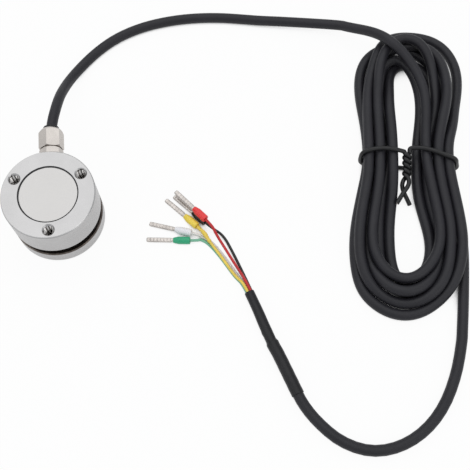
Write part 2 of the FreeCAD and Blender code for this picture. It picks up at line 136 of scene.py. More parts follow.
def new_material(name):
    material = bpy.data.materials.new(name)
    material.use_nodes = True
    nodes = material.node_tree.nodes
    nodes.clear()
    output = nodes.new("ShaderNodeOutputMaterial")
    shader = nodes.new("ShaderNodeBsdfPrincipled")
    material.node_tree.links.new(shader.outputs[0], output.inputs[0])
    return material, material.node_tree, shader


def object_place(tree):
    return tree.nodes.new("ShaderNodeTexCoord").outputs["Object"]


def noise(tree, place, scale, detail=4.0, rough=0.6, distort=0.0):
    """Noise with a scale in waves per metre."""
    node = tree.nodes.new("ShaderNodeTexNoise")
    node.inputs["Scale"].default_value = scale
    node.inputs["Detail"].default_value = detail
    node.inputs["Roughness"].default_value = rough
    node.inputs["Distortion"].default_value = distort
    tree.links.new(place, node.inputs["Vector"])
    return node.outputs["Fac"]


def shades(tree, value, stops):
    """A colour ramp with (position, colour) stops."""
    node = tree.nodes.new("ShaderNodeValToRGB")
    ramp = node.color_ramp
    ramp.elements[0].position, ramp.elements[1].position = stops[0][0], stops[-1][0]
    ramp.elements[0].color = (*stops[0][1], 1)
    ramp.elements[1].color = (*stops[-1][1], 1)
    for position, colour in stops[1:-1]:
        ramp.elements.new(position).color = (*colour, 1)
    tree.links.new(value, node.inputs["Fac"])
    return node.outputs["Color"]


def spread(tree, value, low, high, start=0.3, end=0.7):
    """Maps a value that goes from start to end onto low to high."""
    node = tree.nodes.new("ShaderNodeMapRange")
    node.inputs["From Min"].default_value = start
    node.inputs["From Max"].default_value = end
    node.inputs["To Min"].default_value = low
    node.inputs["To Max"].default_value = high
    tree.links.new(value, node.inputs["Value"])
    return node.outputs["Result"]


def maths(tree, operation, first, second):
    node = tree.nodes.new("ShaderNodeMath")
    node.operation = operation
    for socket, value in zip(node.inputs, (first, second)):
        if isinstance(value, (int, float)):
            socket.default_value = value
        else:
            tree.links.new(value, socket)
    return node.outputs[0]


def bump(tree, value, distance, strength=1.0, under=None):
    node = tree.nodes.new("ShaderNodeBump")
    node.inputs["Distance"].default_value = distance
    node.inputs["Strength"].default_value = strength
    tree.links.new(value, node.inputs["Height"])
    if under is not None:
        tree.links.new(under, node.inputs["Normal"])
    return node.outputs["Normal"]


def tinted(colour, factor):
    return tuple(min(1.0, part * factor) for part in colour)


def mottled(tree, value, colour, vary):
    return shades(tree, value, [(0.3, tinted(colour, 1 - vary)), (0.7, tinted(colour, 1 + vary))])


def painted(tree, zone, base, shade):
    """The shade where the zone is 1, and the base colour where it is 0."""
    mix = tree.nodes.new("ShaderNodeMix")
    mix.data_type = "RGBA"
    for slot, value in ((0, zone), (6, base), (7, shade)):
        tree.links.new(value, mix.inputs[slot])
    return mix.outputs[2]


def plastic(name, colour, roughness, vary=0.08, grain=900.0, relief=0.00002, specular=0.5, coat=0.0):
    """Moulded or extruded plastic with faint mottling and an uneven sheen."""
    material, tree, shader = new_material(name)
    place = object_place(tree)
    broad = noise(tree, place, grain / 6, 3.0)
    fine = noise(tree, place, grain * 2.5, 5.0)
    tree.links.new(mottled(tree, broad, colour, vary), shader.inputs["Base Color"])
    tree.links.new(spread(tree, fine, roughness - 0.06, roughness + 0.06), shader.inputs["Roughness"])
    tree.links.new(bump(tree, fine, relief, 0.6, bump(tree, broad, relief * 4, 0.5)), shader.inputs["Normal"])
    shader.inputs["Specular IOR Level"].default_value = specular
    shader.inputs["Coat Weight"].default_value = coat
    shader.inputs["Coat Roughness"].default_value = 0.25
    return material


def between(tree, value, low, high):
    """1 where a value in metres lies between two bounds in millimetres, else 0."""
    above = maths(tree, "GREATER_THAN", value, low * MM)
    return maths(tree, "MULTIPLY", above, maths(tree, "LESS_THAN", value, high * MM))


def turned_steel(name, colour, roughness, pitch, relief, patch=0.05, groove_shade=None):
    """Stainless steel turned on a lathe: fine rings round the Z axis on faces, and round bands on sides.
    A groove shade zone is given as lowest and highest Z and a radius. Inside it the colour is painted shade with
    lighter painted reflection streaks, and with it a painted highlight runs along the edge of the top face."""
    material, tree, shader = new_material(name)
    place = object_place(tree)
    split = tree.nodes.new("ShaderNodeSeparateXYZ")
    tree.links.new(place, split.inputs[0])
    x, y, z = split.outputs
    squares = maths(tree, "ADD", maths(tree, "MULTIPLY", x, x), maths(tree, "MULTIPLY", y, y))
    radius = maths(tree, "SQRT", squares, 0.0)
    reach = maths(tree, "ADD", radius, z)
    rings = tree.nodes.new("ShaderNodeTexNoise")
    rings.noise_dimensions = "1D"
    rings.inputs["Scale"].default_value = 1.0
    rings.inputs["Detail"].default_value = 3.0
    tree.links.new(maths(tree, "MULTIPLY", reach, 1 / (pitch * MM)), rings.inputs["W"])
    grooves = rings.outputs["Fac"]
    cloud = noise(tree, place, 90.0, 4.0)
    speck = noise(tree, place, 3500.0, 3.0)
    base = shades(tree, cloud, [(0.3, tinted(colour, 1 - patch)), (0.72, tinted(colour, 1 + patch))])
    # painted shade in the groove under the load ring, streaked with painted reflections of the ring's underside
    if groove_shade is not None:
        low, high, reach_in = groove_shade
        zone = maths(tree, "MULTIPLY", between(tree, z, low, high), between(tree, radius, 0.0, reach_in))
        streaks = noise(tree, place, 260.0, 3.0, 0.7, 0.6)
        base = painted(tree, zone, base, shades(tree, streaks, GROOVE_PAINTED_SHADE_COLOURS))
        # painted highlight along the chamfer at the top face's outer edge
        edge_highlight = maths(tree, "MULTIPLY", between(tree, z, *EDGE_HIGHLIGHT_HEIGHTS), between(tree, radius, *EDGE_HIGHLIGHT_RADII))
        base = painted(tree, edge_highlight, base, shades(tree, speck, EDGE_HIGHLIGHT_COLOURS))
    tree.links.new(base, shader.inputs["Base Color"])
    ringed = spread(tree, grooves, roughness - 0.05, roughness + 0.05)
    tree.links.new(maths(tree, "ADD", spread(tree, cloud, -0.03, 0.03), ringed), shader.inputs["Roughness"])
    tree.links.new(bump(tree, grooves, relief * MM, 0.7, bump(tree, speck, 0.000004, 0.4)), shader.inputs["Normal"])
    tangent = tree.nodes.new("ShaderNodeTangent")
    tangent.direction_type = "RADIAL"
    tangent.axis = "Z"
    tree.links.new(tangent.outputs[0], shader.inputs["Tangent"])
    shader.inputs["Metallic"].default_value = 1.0
    shader.inputs["Anisotropic"].default_value = 0.35
    shader.inputs["Anisotropic Rotation"].default_value = 0.25
    return material


def thread_steel_painted_glints(name, dark, bright, roughness):
    """Thread steel whose colour carries painted shade on the flanks and bright painted highlight stripes across each
    hole.
    """
    material, tree, shader = new_material(name)
    # bands that run from dark painted shade to bright painted highlight across the hole
    bands = tree.nodes.new("ShaderNodeTexWave")
    bands.inputs["Scale"].default_value = 1.15
    bands.inputs["Distortion"].default_value = 1.6
    bands.inputs["Detail"].default_value = 2.0
    bands.inputs["Detail Scale"].default_value = 2.5
    bands.inputs["Phase Offset"].default_value = 0.9
    tree.links.new(tree.nodes.new("ShaderNodeTexCoord").outputs["Generated"], bands.inputs["Vector"])
    tree.links.new(shades(tree, bands.outputs["Fac"], [(0.30, dark), (0.62, bright)]), shader.inputs["Base Color"])
    speck = noise(tree, object_place(tree), 3500.0, 3.0)
    tree.links.new(spread(tree, speck, roughness - 0.06, roughness + 0.06), shader.inputs["Roughness"])
    tree.links.new(bump(tree, speck, 0.000006, 0.5), shader.inputs["Normal"])
    shader.inputs["Metallic"].default_value = 1.0
    return material


def metal(name, colour, roughness, grain=1500.0, relief=0.00001, vary=0.06):
    """Plated or drawn metal with faint clouds and a fine grain."""
    material, tree, shader = new_material(name)
    place = object_place(tree)
    broad = noise(tree, place, grain / 8, 3.0)
    fine = noise(tree, place, grain * 2, 5.0)
    tree.links.new(mottled(tree, broad, colour, vary), shader.inputs["Base Color"])
    tree.links.new(spread(tree, fine, roughness - 0.06, roughness + 0.08), shader.inputs["Roughness"])
    tree.links.new(bump(tree, fine, relief, 0.6), shader.inputs["Normal"])
    shader.inputs["Metallic"].default_value = 1.0
    return material


def finish_materials():
    """Every finish of the object, by the name of its slot."""
    finishes = {
        # the body's steel carries painted shade in its groove and a painted highlight along its top edge
        "body_steel": turned_steel("body_steel", (0.540, 0.532, 0.530), 0.30, 0.16, 0.004, 0.07, GROOVE_PAINTED_SHADE_ZONE),
        "cover_steel": turned_steel("cover_steel", (0.585, 0.572, 0.560), 0.36, 0.22, 0.003, 0.03),
        # colours of the thread's painted shade and painted highlight stripes
        "thread_steel": thread_steel_painted_glints("thread_steel", (0.10, 0.09, 0.085), (0.78, 0.76, 0.74), 0.20),
    }
    finishes.update((name, plastic(name, *values)) for name, values in PLASTICS.items())
    finishes.update((name, metal(name, *values)) for name, values in METALS.items())
    return finishes


def dress_nodes(finishes):
    """Gives each node of the frame the finish of its slot."""
    slots = {part["node"]: part["material_slot"] for part in frame["record"]["subparts"]}
    for name, node in frame["nodes"].items():
        finish = finishes[slots[name]]
        if not node.material_slots:
            node.data.materials.append(finish)
        for slot in node.material_slots:
            slot.material = finish


# ---------------------------------------------------------------- pieces

def add_mesh(name, vertices, faces, finish, smooth=True):
    mesh = bpy.data.meshes.new(name)
    mesh.from_pydata([Vector(vertex) * MM for vertex in vertices], [], faces)
    mesh.validate()
    mesh.update()
    piece = bpy.data.objects.new(name, mesh)
    bpy.context.collection.objects.link(piece)
    mesh.materials.append(finish)
    for polygon in mesh.polygons:
        polygon.use_smooth = smooth
    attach(piece, "root")
    return piece


def spline_object(name, points, radius, finish=None, resolution=4, sides=8):
    """A curve of one open spline with the points as its control points."""
    curve = bpy.data.curves.new(name, "CURVE")
    curve.dimensions = "3D"
    spline = curve.splines.new("NURBS")
    spline.points.add(len(points) - 1)
    for slot, point in zip(spline.points, points):
        slot.co = (*(Vector(point) * MM), 1)
    spline.order_u = 3
    spline.use_endpoint_u = True
    spline.resolution_u = resolution
    curve.bevel_depth = radius * MM
    curve.bevel_resolution = sides
    curve.use_fill_caps = True
    piece = bpy.data.objects.new(name, curve)
    bpy.context.collection.objects.link(piece)
    if finish is not None:
        curve.materials.append(finish)
        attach(piece, "root")
    return piece


def line_of(points, resolution=4):
    """Reads back the smooth line of a route, in millimetres."""
    bare = spline_object("bare_line", points, 0.0, resolution=resolution)
    mesh = bpy.data.meshes.new_from_object(bare)
    line = [Vector(vertex.co) / MM for vertex in mesh.vertices]
    curve = bare.data
    bpy.data.objects.remove(bare)
    bpy.data.curves.remove(curve)
    bpy.data.meshes.remove(mesh)
    return line


def lengths_along(line):
    total = [0.0]
    for a, b in zip(line, line[1:]):
        total.append(total[-1] + (b - a).length)
    return total


def at_length(line, total, s):
    """Place and direction at a distance along a line."""
    s = min(max(s, 0.0), total[-1])
    index = int(np.searchsorted(total, s, side="right")) - 1
    index = min(max(index, 0), len(line) - 2)
    step = line[index + 1] - line[index]
    share = (s - total[index]) / max(step.length, 1e-9)
    return line[index] + step * share, step.normalized()


def frame_at(line, total, s):
    """Place at a distance along a line, and the directions to the side and upwards there."""
    place, way = at_length(line, total, s)
    side = way.cross(UP).normalized()
    return place, side, side.cross(way)


def add_skin(name, rings, finish, close=(True, True), smooth=True):
    """A skin through rings of as many points each, closed at its ends as asked."""
    around = len(rings[0])
    vertices = [point for ring in rings for point in ring]
    faces = []
    for row in range(len(rings) - 1):
        for column in range(around):
            after = (column + 1) % around
            here, above = row * around, (row + 1) * around
            faces.append((here + column, here + after, above + after, above + column))
    if close[0]:
        faces.append(tuple(reversed(range(around))))
    if close[1]:
        faces.append(tuple(range((len(rings) - 1) * around, len(rings) * around)))
    return add_mesh(name, vertices, faces, finish, smooth)


def keep_off_floor(rings):
    for ring in rings:
        for point in ring:
            point.z = max(point.z, FLOOR_CLEARANCE)


# ---------------------------------------------------------------- steel body

BODY_HEIGHT = 22.5
SEAT_RADIUS = 10.35
DISC_TOP = 22.3
# The dark bead in the cover gap is painted shade: the height of its foot, and the turn of the side where the painted
# shade reaches furthest over the disc
GAP_SHADE_FOOT = 21.5
GAP_SHADE_WIDE_SIDE = math.radians(128)

# Face, radius of the bolt circle, its turn in degrees, and top and depth of the threads
THREADED_HOLES = [("top", 13.0, 0.0, BODY_HEIGHT - 0.42, 7.3), ("base", 11.5, 60.0, 5.85, 5.3)]
THREAD_CREST = 1.32
THREAD_ROOT = 1.67
THREAD_PITCH = 0.7
BOLT_ANGLES = (30.0, 150.0, 270.0)


def add_gap_shade_bead(finishes):
    """Dark bead in the gap round the cover disc as painted shade for the gap's shadow, reaching further over the disc
    on the side where that painted shade is wider.
    """
    steps = 180
    wall = SEAT_RADIUS - 0.005
    rings = []
    for step in range(steps):
        turn = 2 * math.pi * step / steps
        one_side = math.cos(turn - GAP_SHADE_WIDE_SIDE)
        # how far the painted shade reaches in over the disc, widest towards one side
        inward_shade = 0.09 + 0.10 * one_side + 0.012 * math.sin(7 * turn) + 0.008 * math.sin(17 * turn + 1)
        back = 0.10 * (0.5 - 0.5 * one_side)
        # radius and height of the corners of the bead's section
        profile = [(9.93 - inward_shade, DISC_TOP + 0.004), (10.0 - inward_shade, DISC_TOP + 0.05), (10.14, DISC_TOP + 0.03),
                   (SEAT_RADIUS - 0.04 - back, DISC_TOP + 0.08 - back * 0.5), (wall, DISC_TOP + 0.10 - back),
                   (wall, GAP_SHADE_FOOT), (10.03, GAP_SHADE_FOOT), (10.03, DISC_TOP - 0.1), (9.95 - inward_shade, DISC_TOP - 0.01)]
        rings.append([Vector((r * math.cos(turn), r * math.sin(turn), z)) for r, z in profile])
    piece = add_skin("cover_gap_shade", rings + rings[:1], finishes["seal_rubber"], (False, False))


def add_threads(finishes):
    """Helical thread ridges in the tapped holes of the top face and of the base."""
    per_turn = 24
    for face, circle, offset, top, depth in THREADED_HOLES:
        for index, angle in enumerate(BOLT_ANGLES, 1):
            turn = math.radians(angle + offset)
            middle = Vector((circle * math.cos(turn), circle * math.sin(turn), 0))
            rings = []
            for step in range(int(depth / THREAD_PITCH * per_turn) + 1):
                spin = 2 * math.pi * step / per_turn + index
                drop = top - THREAD_PITCH * step / per_turn
                fade = min(1.0, step / (per_turn * 0.5))
                crest = THREAD_ROOT - (THREAD_ROOT - THREAD_CREST) * fade
                section = ((THREAD_ROOT, 0.29), (crest, 0.05), (crest, -0.05), (THREAD_ROOT, -0.29))
                rings.append([middle + Vector((r * math.cos(spin), r * math.sin(spin), drop + rise))
                              for r, rise in section])
            piece = add_skin("thread_%s_%d" % (face, index), rings, finishes["thread_steel"], smooth=False)


# ---------------------------------------------------------------- cable

# The lead from inside the gland, down to the floor and across it to the coil
LEAD = [(0.0, 10.4, GLAND_HEIGHT), (0.0, 20.0, GLAND_HEIGHT), (0.0, 29.5, GLAND_HEIGHT), (1.5, 36.5, 14.3),
        (2.5, 43.0, 11.6), (3.6, 49.0, 7.6), (5.6, 55.2, 3.9), (9.1, 60.8, 2.1), (13.8, 65.8, 1.9),
        (19.3, 70.3, 1.9), (25.2, 73.9, 1.9), (33.0, 76.9, 1.9), (41.0, 78.6, 1.9), (49.0, 79.4, 1.9),
        (57.0, 79.4, 1.9), (65.0, 78.7, 1.9), (72.5, 77.4, 1.9), (80.3, 75.7, 2.2), (88.0, 74.1, 3.0)]

# Each pass of the coil: the pull that holds it in place while the strands settle, and its places as pixels of
# the photograph and heights in millimetres, clockwise from the top
OVER_THE_COIL = 0.26, [
    (340, 25.0, 4.1), (350, 27.6, 5.5), (360.5, 29.6, 7.0), (369.5, 31.7, 8.5), (378, 34.6, 9.9),
    (386.6, 40.4, 10.9), (396.5, 47.4, 11.2), (405.9, 56.9, 10.6), (415.3, 71.1, 9.8), (420.2, 80.4, 9.4),
    (424.6, 93, 9.2), (425.8, 106, 8.8), (425.8, 120, 8.2), (425.6, 135, 7.4), (425.6, 150, 7.1),
    (427.5, 165, 6.6), (430.5, 180, 6.0), (435.5, 200, 5.8), (439.5, 220, 5.8), (440.7, 240, 5.8),
    (437.5, 252, 5.7), (431.5, 263, 5.7), (424, 271.6, 5.7), (415, 277.5, 5.7), (406, 279.7, 5.7),
    (397, 278, 5.7), (389, 273, 5.7), (381, 265, 5.6), (375.5, 255, 5.4), (372.3, 240, 5.4), (373.5, 220, 5.4),
    (376.3, 200, 5.6), (379.3, 180, 6.2), (379.8, 165, 6.8), (379.8, 150, 6.9), (378.3, 120, 6.0),
    (377, 100, 5.6), (377, 81, 5.6), (379, 66, 6.0), (383, 55, 6.6)]
SECOND_PASS = 0.24, [
    (388.5, 46.5, 7.0), (395.5, 41, 7.6), (404, 38.9, 8.6), (412.5, 40, 8.8), (420.2, 44.8, 8.6),
    (425.8, 52.2, 8.0), (429.6, 61.5, 7.2), (431.3, 72, 6.4), (433.5, 84, 5.9), (435.0, 96, 5.7),
    (435.6, 106, 5.6), (433.6, 120, 5.0), (430.0, 135, 3.8), (427.2, 150, 3.4), (426.4, 165, 2.8),
    (426.4, 180, 2.2), (428.7, 200, 1.9), (434.8, 220, 1.9), (440.4, 240, 1.9), (441.2, 254, 2.4),
    (439.3, 265, 3.6), (435, 275, 4.8), (428.5, 283, 5.5), (419, 289.2, 5.7), (408, 291.8, 5.7),
    (397, 291, 5.7), (387, 286.8, 5.5), (378.6, 279, 5.0), (372.4, 268, 3.8), (368.8, 255, 2.2),
    (367.2, 240, 1.9), (368, 220, 1.9), (371.4, 200, 1.9), (375.4, 180, 2.4), (378, 165, 3.0),
    (378.8, 150, 3.2), (375.5, 120, 2.2), (371.8, 100, 1.9), (371.5, 81, 1.9), (374.5, 67, 2.2),
    (379.5, 57, 3.4)]
THIRD_PASS = 0.20, [
    (387, 50.5, 4.6), (395, 47.2, 5.4), (404, 46, 5.7), (413, 46, 5.7), (421.6, 46.6, 5.7), (429.5, 49.8, 5.7),
    (434.6, 54.8, 5.7), (438.0, 60.4, 5.8), (441.0, 68, 6.2), (444.2, 78, 7.0), (446.6, 90, 8.0),
    (445.8, 103, 8.8), (442.4, 120, 8.8), (439.6, 135, 7.8), (438, 150, 7.1), (439.0, 165, 6.6),
    (441, 180, 6.0), (446, 200, 5.8), (450, 220, 5.8), (450.5, 240, 5.8), (449.4, 256, 5.6), (447.2, 268, 4.8),
    (441.6, 281, 3.4), (433, 292, 2.2), (421, 301.2, 2.4), (408, 304.4, 3.0), (396, 302.4, 3.0),
    (387.9, 298.9, 2.8), (380.2, 293.4, 3.2), (370.8, 282.8, 4.0), (363.5, 268, 5.3), (359.9, 254, 5.6),
    (359.5, 240, 5.6), (360.6, 220, 5.6), (363.6, 200, 5.6), (367.4, 180, 6.2), (368.8, 165, 6.8),
    (368.6, 150, 6.9), (367.6, 120, 6.0), (367.8, 100, 5.5), (370.0, 81, 4.6), (374.6, 65, 3.0), (380, 54, 2.0),
    (387, 46.0, 1.9)]
FOURTH_PASS = 0.24, [
    (395, 41.0, 1.9), (404, 38.9, 1.9), (412, 38.6, 1.9), (420, 39, 1.9), (428.5, 40.7, 1.9), (437, 44.5, 1.9),
    (445.9, 52.5, 1.9), (452.2, 62.3, 1.9), (455.8, 73, 1.9), (456.7, 81, 1.9), (456.5, 92, 2.0),
    (455.2, 103, 2.8), (451.9, 120, 5.0), (449.0, 135, 6.6), (447.9, 150, 7.1), (448.9, 165, 6.6),
    (450.9, 180, 6.0), (454.9, 200, 5.8), (460.2, 220, 5.8), (462.8, 240, 5.8), (462.3, 252, 5.8),
    (460.4, 264, 5.8), (456.4, 276, 5.6), (450.4, 287.5, 4.8), (441.6, 298, 3.4), (431, 306, 2.2),
    (420, 312.6, 1.9), (408, 315.8, 1.9), (395, 314.4, 1.9), (382.4, 308.8, 1.9), (371.2, 300, 1.9),
    (362, 286.8, 1.9), (357, 272.4, 1.9), (355, 256, 1.9), (354.6, 240, 1.9), (356.8, 220, 1.9),
    (361, 200, 1.9), (365.4, 180, 2.4), (367.3, 165, 3.0), (367.4, 150, 3.2), (364.0, 120, 2.2),
    (359.9, 100, 1.9), (359.4, 81, 1.9), (361.9, 67.5, 1.9), (366, 60.6, 1.9), (373, 54.5, 1.9),
    (381, 51.2, 1.9)]
UNDER_THE_REST = 0.08, [
    (390, 50, 1.9), (400, 49.6, 1.9), (410, 52, 1.9), (418.5, 57.2, 2.0), (426, 64.2, 2.6), (433, 73, 3.2),
    (439, 82.5, 3.8), (443.8, 92.5, 4.6), (445.8, 102, 5.2), (446, 112, 5.3), (443, 125, 4.8),
    (439.2, 138, 3.8), (437.0, 150, 3.4), (437.2, 165, 2.8), (438.8, 180, 2.2), (441.8, 200, 1.9),
    (447.2, 220, 1.9), (451.2, 240, 1.9), (451.4, 252, 1.9), (449.0, 264, 1.9), (444.4, 275, 1.9),
    (437, 286, 1.9), (427, 292.4, 1.9), (418, 294.6, 1.9), (408, 295.0, 1.9), (398.5, 292.8, 1.9),
    (390.0, 287.8, 1.9), (384.0, 278.4, 1.9), (381.2, 265, 1.9), (380.0, 252, 1.9), (379.4, 240, 1.9),
    (379.4, 220, 1.9), (381.8, 200, 1.9), (385.8, 180, 2.4), (389.4, 165, 3.0), (390.4, 150, 3.2),
    (386.2, 120, 2.4), (380.6, 100, 2.2), (379.6, 81, 2.4), (382.5, 68, 3.2), (388.5, 60.4, 4.0)]
FIFTH_PASS = 0.26, [
    (396.5, 59.4, 4.6), (403.6, 64, 5.3), (409.6, 71.4, 5.6), (414.8, 80.6, 5.7), (418.4, 91.6, 5.7),
    (420.0, 103, 5.4), (419.9, 120, 4.4), (417.9, 135, 3.6), (416.6, 150, 3.3), (416.2, 165, 2.8),
    (416.4, 180, 2.2), (418.4, 200, 1.9), (424.4, 220, 1.9), (429.5, 240, 1.9), (430.4, 250, 1.9),
    (428.8, 260, 1.9), (425.5, 270, 1.9), (419.5, 278.2, 1.9), (411, 284.0, 1.9), (401.6, 284.2, 1.9),
    (394.6, 277.4, 1.9), (392.2, 263, 2.2), (390.0, 250, 2.5), (389.0, 240, 2.3), (389.2, 220, 1.9),
    (390.6, 200, 2.6), (392.0, 180, 4.2), (392.7, 165, 6.2), (392.6, 150, 6.7), (390.3, 120, 4.8),
    (387.2, 100, 2.8), (386.9, 85, 1.9), (388.6, 74, 1.9)]
TO_THE_TAIL = 0.18, [
    (393.6, 67.2, 1.9), (400.5, 66.4, 1.9), (408, 64.6, 1.9), (416.6, 66.4, 1.9), (424.2, 72.2, 1.9),
    (430.6, 82.5, 1.9), (434.2, 94.5, 1.9), (436.5, 106, 1.9), (442, 118, 1.9), (446, 133, 2.8),
    (448.0, 150, 3.4), (448.8, 165, 2.8), (450.0, 180, 2.2), (453.8, 200, 1.9), (459.0, 220, 1.9),
    (462.4, 240, 1.9), (463.4, 255, 1.9), (463.6, 270, 1.9), (463.5, 285, 1.9), (463.4, 300, 1.9)]
PASSES = [OVER_THE_COIL, SECOND_PASS, THIRD_PASS, FOURTH_PASS, UNDER_THE_REST, FIFTH_PASS, TO_THE_TAIL]

# The tail across the floor, into the heat-shrink sleeve. Its first SETTLING_TAIL points settle with the coil.
TAIL = [(137.9, -47.3, 1.9), (135.4, -58.3, 1.9), (131.7, -68.9, 1.9), (125.8, -79.3, 1.9), (118.2, -86.8, 1.9),
        (108.9, -91.3, 1.9), (99.0, -92.0, 1.9), (89.6, -87.8, 1.9), (82.7, -80.5, 2.0), (78.7, -74.2, 2.2),
        (76.5, -67.9, 2.27), (74.3, -61.7, 2.25), (72.0, -55.2, 2.25)]
SETTLING_TAIL = 2
TAIL_PULL = 0.10

# The coil settles as real strands do: they push each other apart, bend evenly and rest on the floor. STEP is
# the distance between points of the cable, STRAND_GAP that between strands in diameters, and points nearer
# than SAME_STRAND along the cable don't push each other.
STEP = 2.5
STRAND_GAP = 1.005
SAME_STRAND = 3.2 * CABLE
ROUNDS = 420
PUSH = 1.2
EVEN_BENDS = 0.30
RISE_PULL = 0.02

# Middle of the tie, its direction across the coil, how far it lifts the strands over it, and how gently
TIE_MIDDLE = np.array((127.9, 11.2))
TIE_ACROSS = np.array((0.979, -0.204))
TIE_LIFT = 1.5
TIE_LIFT_REACH = 13.0


def smooth_through(points):
    """A smooth line through the given points, eight steps from one to the next."""
    P = np.array(points, float)
    P = np.vstack([2 * P[0] - P[1], P, 2 * P[-1] - P[-2]])
    line = []
    for index in range(1, len(P) - 2):
        a, b, c, d = P[index - 1:index + 3]
        for t in np.arange(0, 1, 0.125):
            line.append(0.5 * (2 * b + (c - a) * t + (2 * a - 5 * b + 4 * c - d) * t ** 2
                               + (3 * b - a - 3 * c + d) * t ** 3))
    line.append(P[-2])
    return np.array(line)


def evenly(P, step):
    """The same line with its points a step apart."""
    run = np.linalg.norm(np.diff(P[:, :3], axis=0), axis=1)
    s = np.r_[0, np.cumsum(run)]
    q = np.linspace(0, s[-1], int(round(s[-1] / step)) + 1)
    return np.stack([np.interp(q, s, P[:, k]) for k in range(P.shape[1])], -1)


def floor_under(P):
    """Height of a resting strand's middle: the floor, or the tie where it passes beneath."""
    along_coil = np.array((-TIE_ACROSS[1], TIE_ACROSS[0]))
    off = (P[:, :2] - TIE_MIDDLE) @ along_coil
    return CABLE_RADIUS + TIE_LIFT * np.exp(-(off / TIE_LIFT_REACH) ** 2)


def settled(P, pull):
    """The coil's points once its strands lie clear of each other, with each point's pull to its own place."""
    target = P.copy()
    count = len(P)
    apart = int(SAME_STRAND / STEP)
    gap = CABLE * STRAND_GAP
    pull = pull[2:-2, None]
    for turn in range(ROUNDS):
        ease = min(1.0, 1.6 * (1 - turn / ROUNDS))
        if turn % 8 == 0:
            away = P[:, None, :] - P[None, :, :]
            close = (away ** 2).sum(-1) < (gap + 1.6) ** 2
            first, second = np.nonzero(np.triu(close, apart))
        away = P[first] - P[second]
        distance = np.sqrt((away ** 2).sum(-1)) + 1e-9
        overlap = np.maximum(gap - distance, 0)
        push = away * (overlap / distance)[:, None] * 0.5
        move = np.zeros_like(P)
        hits = np.zeros(count)
        touching = overlap > 0
        np.add.at(move, first[touching], push[touching])
        np.add.at(move, second[touching], -push[touching])
        np.add.at(hits, first[touching], 1)
        np.add.at(hits, second[touching], 1)
        P[2:-2] += (move / np.maximum(hits, 1)[:, None])[2:-2] * PUSH
        lag = np.zeros_like(P)
        lag[1:-1] = (P[:-2] + P[2:]) / 2 - P[1:-1]
        bend = np.zeros_like(P)
        bend[2:-2] = (lag[1:-3] + lag[3:-1]) / 2 - lag[2:-2]
        P[2:-2] -= EVEN_BENDS * bend[2:-2]
        P[2:-2, :2] += ease * pull * (target - P)[2:-2, :2]
        P[2:-2, 2:] += ease * RISE_PULL * (target - P)[2:-2, 2:]
        P[:, 2] = np.maximum(P[:, 2], floor_under(P))
    return P


def cable_route():
    """Control points of the whole cable: lead, coil and tail."""
    seen = []
    for pull, pixels in PASSES:
        seen += [(*on_picture(*pixel), pull) for pixel in pixels]
    seen += [(*point, TAIL_PULL) for point in TAIL[:SETTLING_TAIL]]
    line = evenly(smooth_through(seen), STEP)
    line = settled(line[:, :3], line[:, 3])
    return LEAD + [tuple(point) for point in line] + TAIL[SETTLING_TAIL:]


# The tie, placed in the same way: from its knot over the left strands, beneath the coil and back over the
# right strands, then the ends of its twist and its two cut ends
TIE_ROUND = [
    (404.6, 151.6, 8.9), (398.8, 149.8, 9.8), (392.5, 148.4, 10.0), (381, 147.4, 9.9), (370, 149.2, 9.9),
    (364.6, 151.4, 9.5), (361.4, 153.8, 8.0), (360.4, 157.0, 5.4), (360.8, 160.4, 2.9), (363.4, 163.4, 1.0),
    (370, 165.2, 0.8), (385, 166.6, 0.8), (400, 167.8, 0.8), (415, 168.8, 0.8), (430, 169.6, 0.8), (444, 170.2, 0.8),
    (452.2, 170.0, 1.2), (455.2, 166.8, 3.2), (455.6, 163.2, 6.0), (453.8, 160.0, 8.6), (449.8, 157.0, 9.8),
    (442, 153.4, 10.0), (433, 149.8, 10.0), (425, 147.6, 9.9), (416, 146.8, 9.4), (409.6, 148.4, 9.0)]
TIE_KNOT = (407.0, 152.6, 8.4)
TIE_TWIST_FOOT = (406.6, 176.5, 5.6)
TIE_TURNS = 2.25
TIE_TWIST_RADIUS = 0.95
TIE_ENDS = [
    [(403.2, 180.5, 5.0), (401.8, 185.5, 4.6), (403.6, 192.4, 3.8), (407.0, 199.0, 2.6), (409.8, 205.2, 1.6)],
    [(409.2, 180.5, 6.6), (408.6, 185.5, 6.6), (403.6, 192.4, 6.3), (400.0, 198.2, 6.2), (397.0, 203.2, 6.1)]]
TIE_TWIST_STEPS = 22

# Its steel core at each cut end: how far each ring lies beyond the cut, and its radius
TIE_CORE = ((-0.3, 0.34), (0.12, 0.34), (0.17, 0.28), (0.19, 0.12))

# The tie settles on the strands: step along it, rounds, the round from which it only moves out of them, and
# how strongly it straightens and is held in place
TIE_STEP = 1.2
TIE_ROUNDS = 90
TIE_FREE_ROUNDS = 80
TIE_STRAIGHTEN = 0.18
TIE_HOLD = 0.03


def clear_of_strands(line, strands):
    """Moves a thin wire out of the strands it is drawn tight on, and keeps it off the floor."""
    P = evenly(smooth_through(line), TIE_STEP)
    target = P.copy()
    Q = evenly(strands, 0.8)
    near = Q[((Q[:, None, :2] - P[None, :, :2]) ** 2).sum(-1).min(1) < 64]
    reach = CABLE_RADIUS + TIE / 2
    rows = np.arange(len(P))
    for turn in range(TIE_ROUNDS):
        away = P[:, None] - near[None]
        distance = np.sqrt((away ** 2).sum(-1)) + 1e-9
        worst = distance.argmin(1)
        deep = np.maximum(reach - distance[rows, worst], 0)
        P[1:-1] += (away[rows, worst] * (deep / distance[rows, worst])[:, None])[1:-1]
        if turn < TIE_FREE_ROUNDS:
            P[1:-1] += TIE_STRAIGHTEN * ((P[:-2] + P[2:]) / 2 - P[1:-1]) + TIE_HOLD * (target - P)[1:-1]
        P[:, 2] = np.maximum(P[:, 2], TIE / 2)
    return P


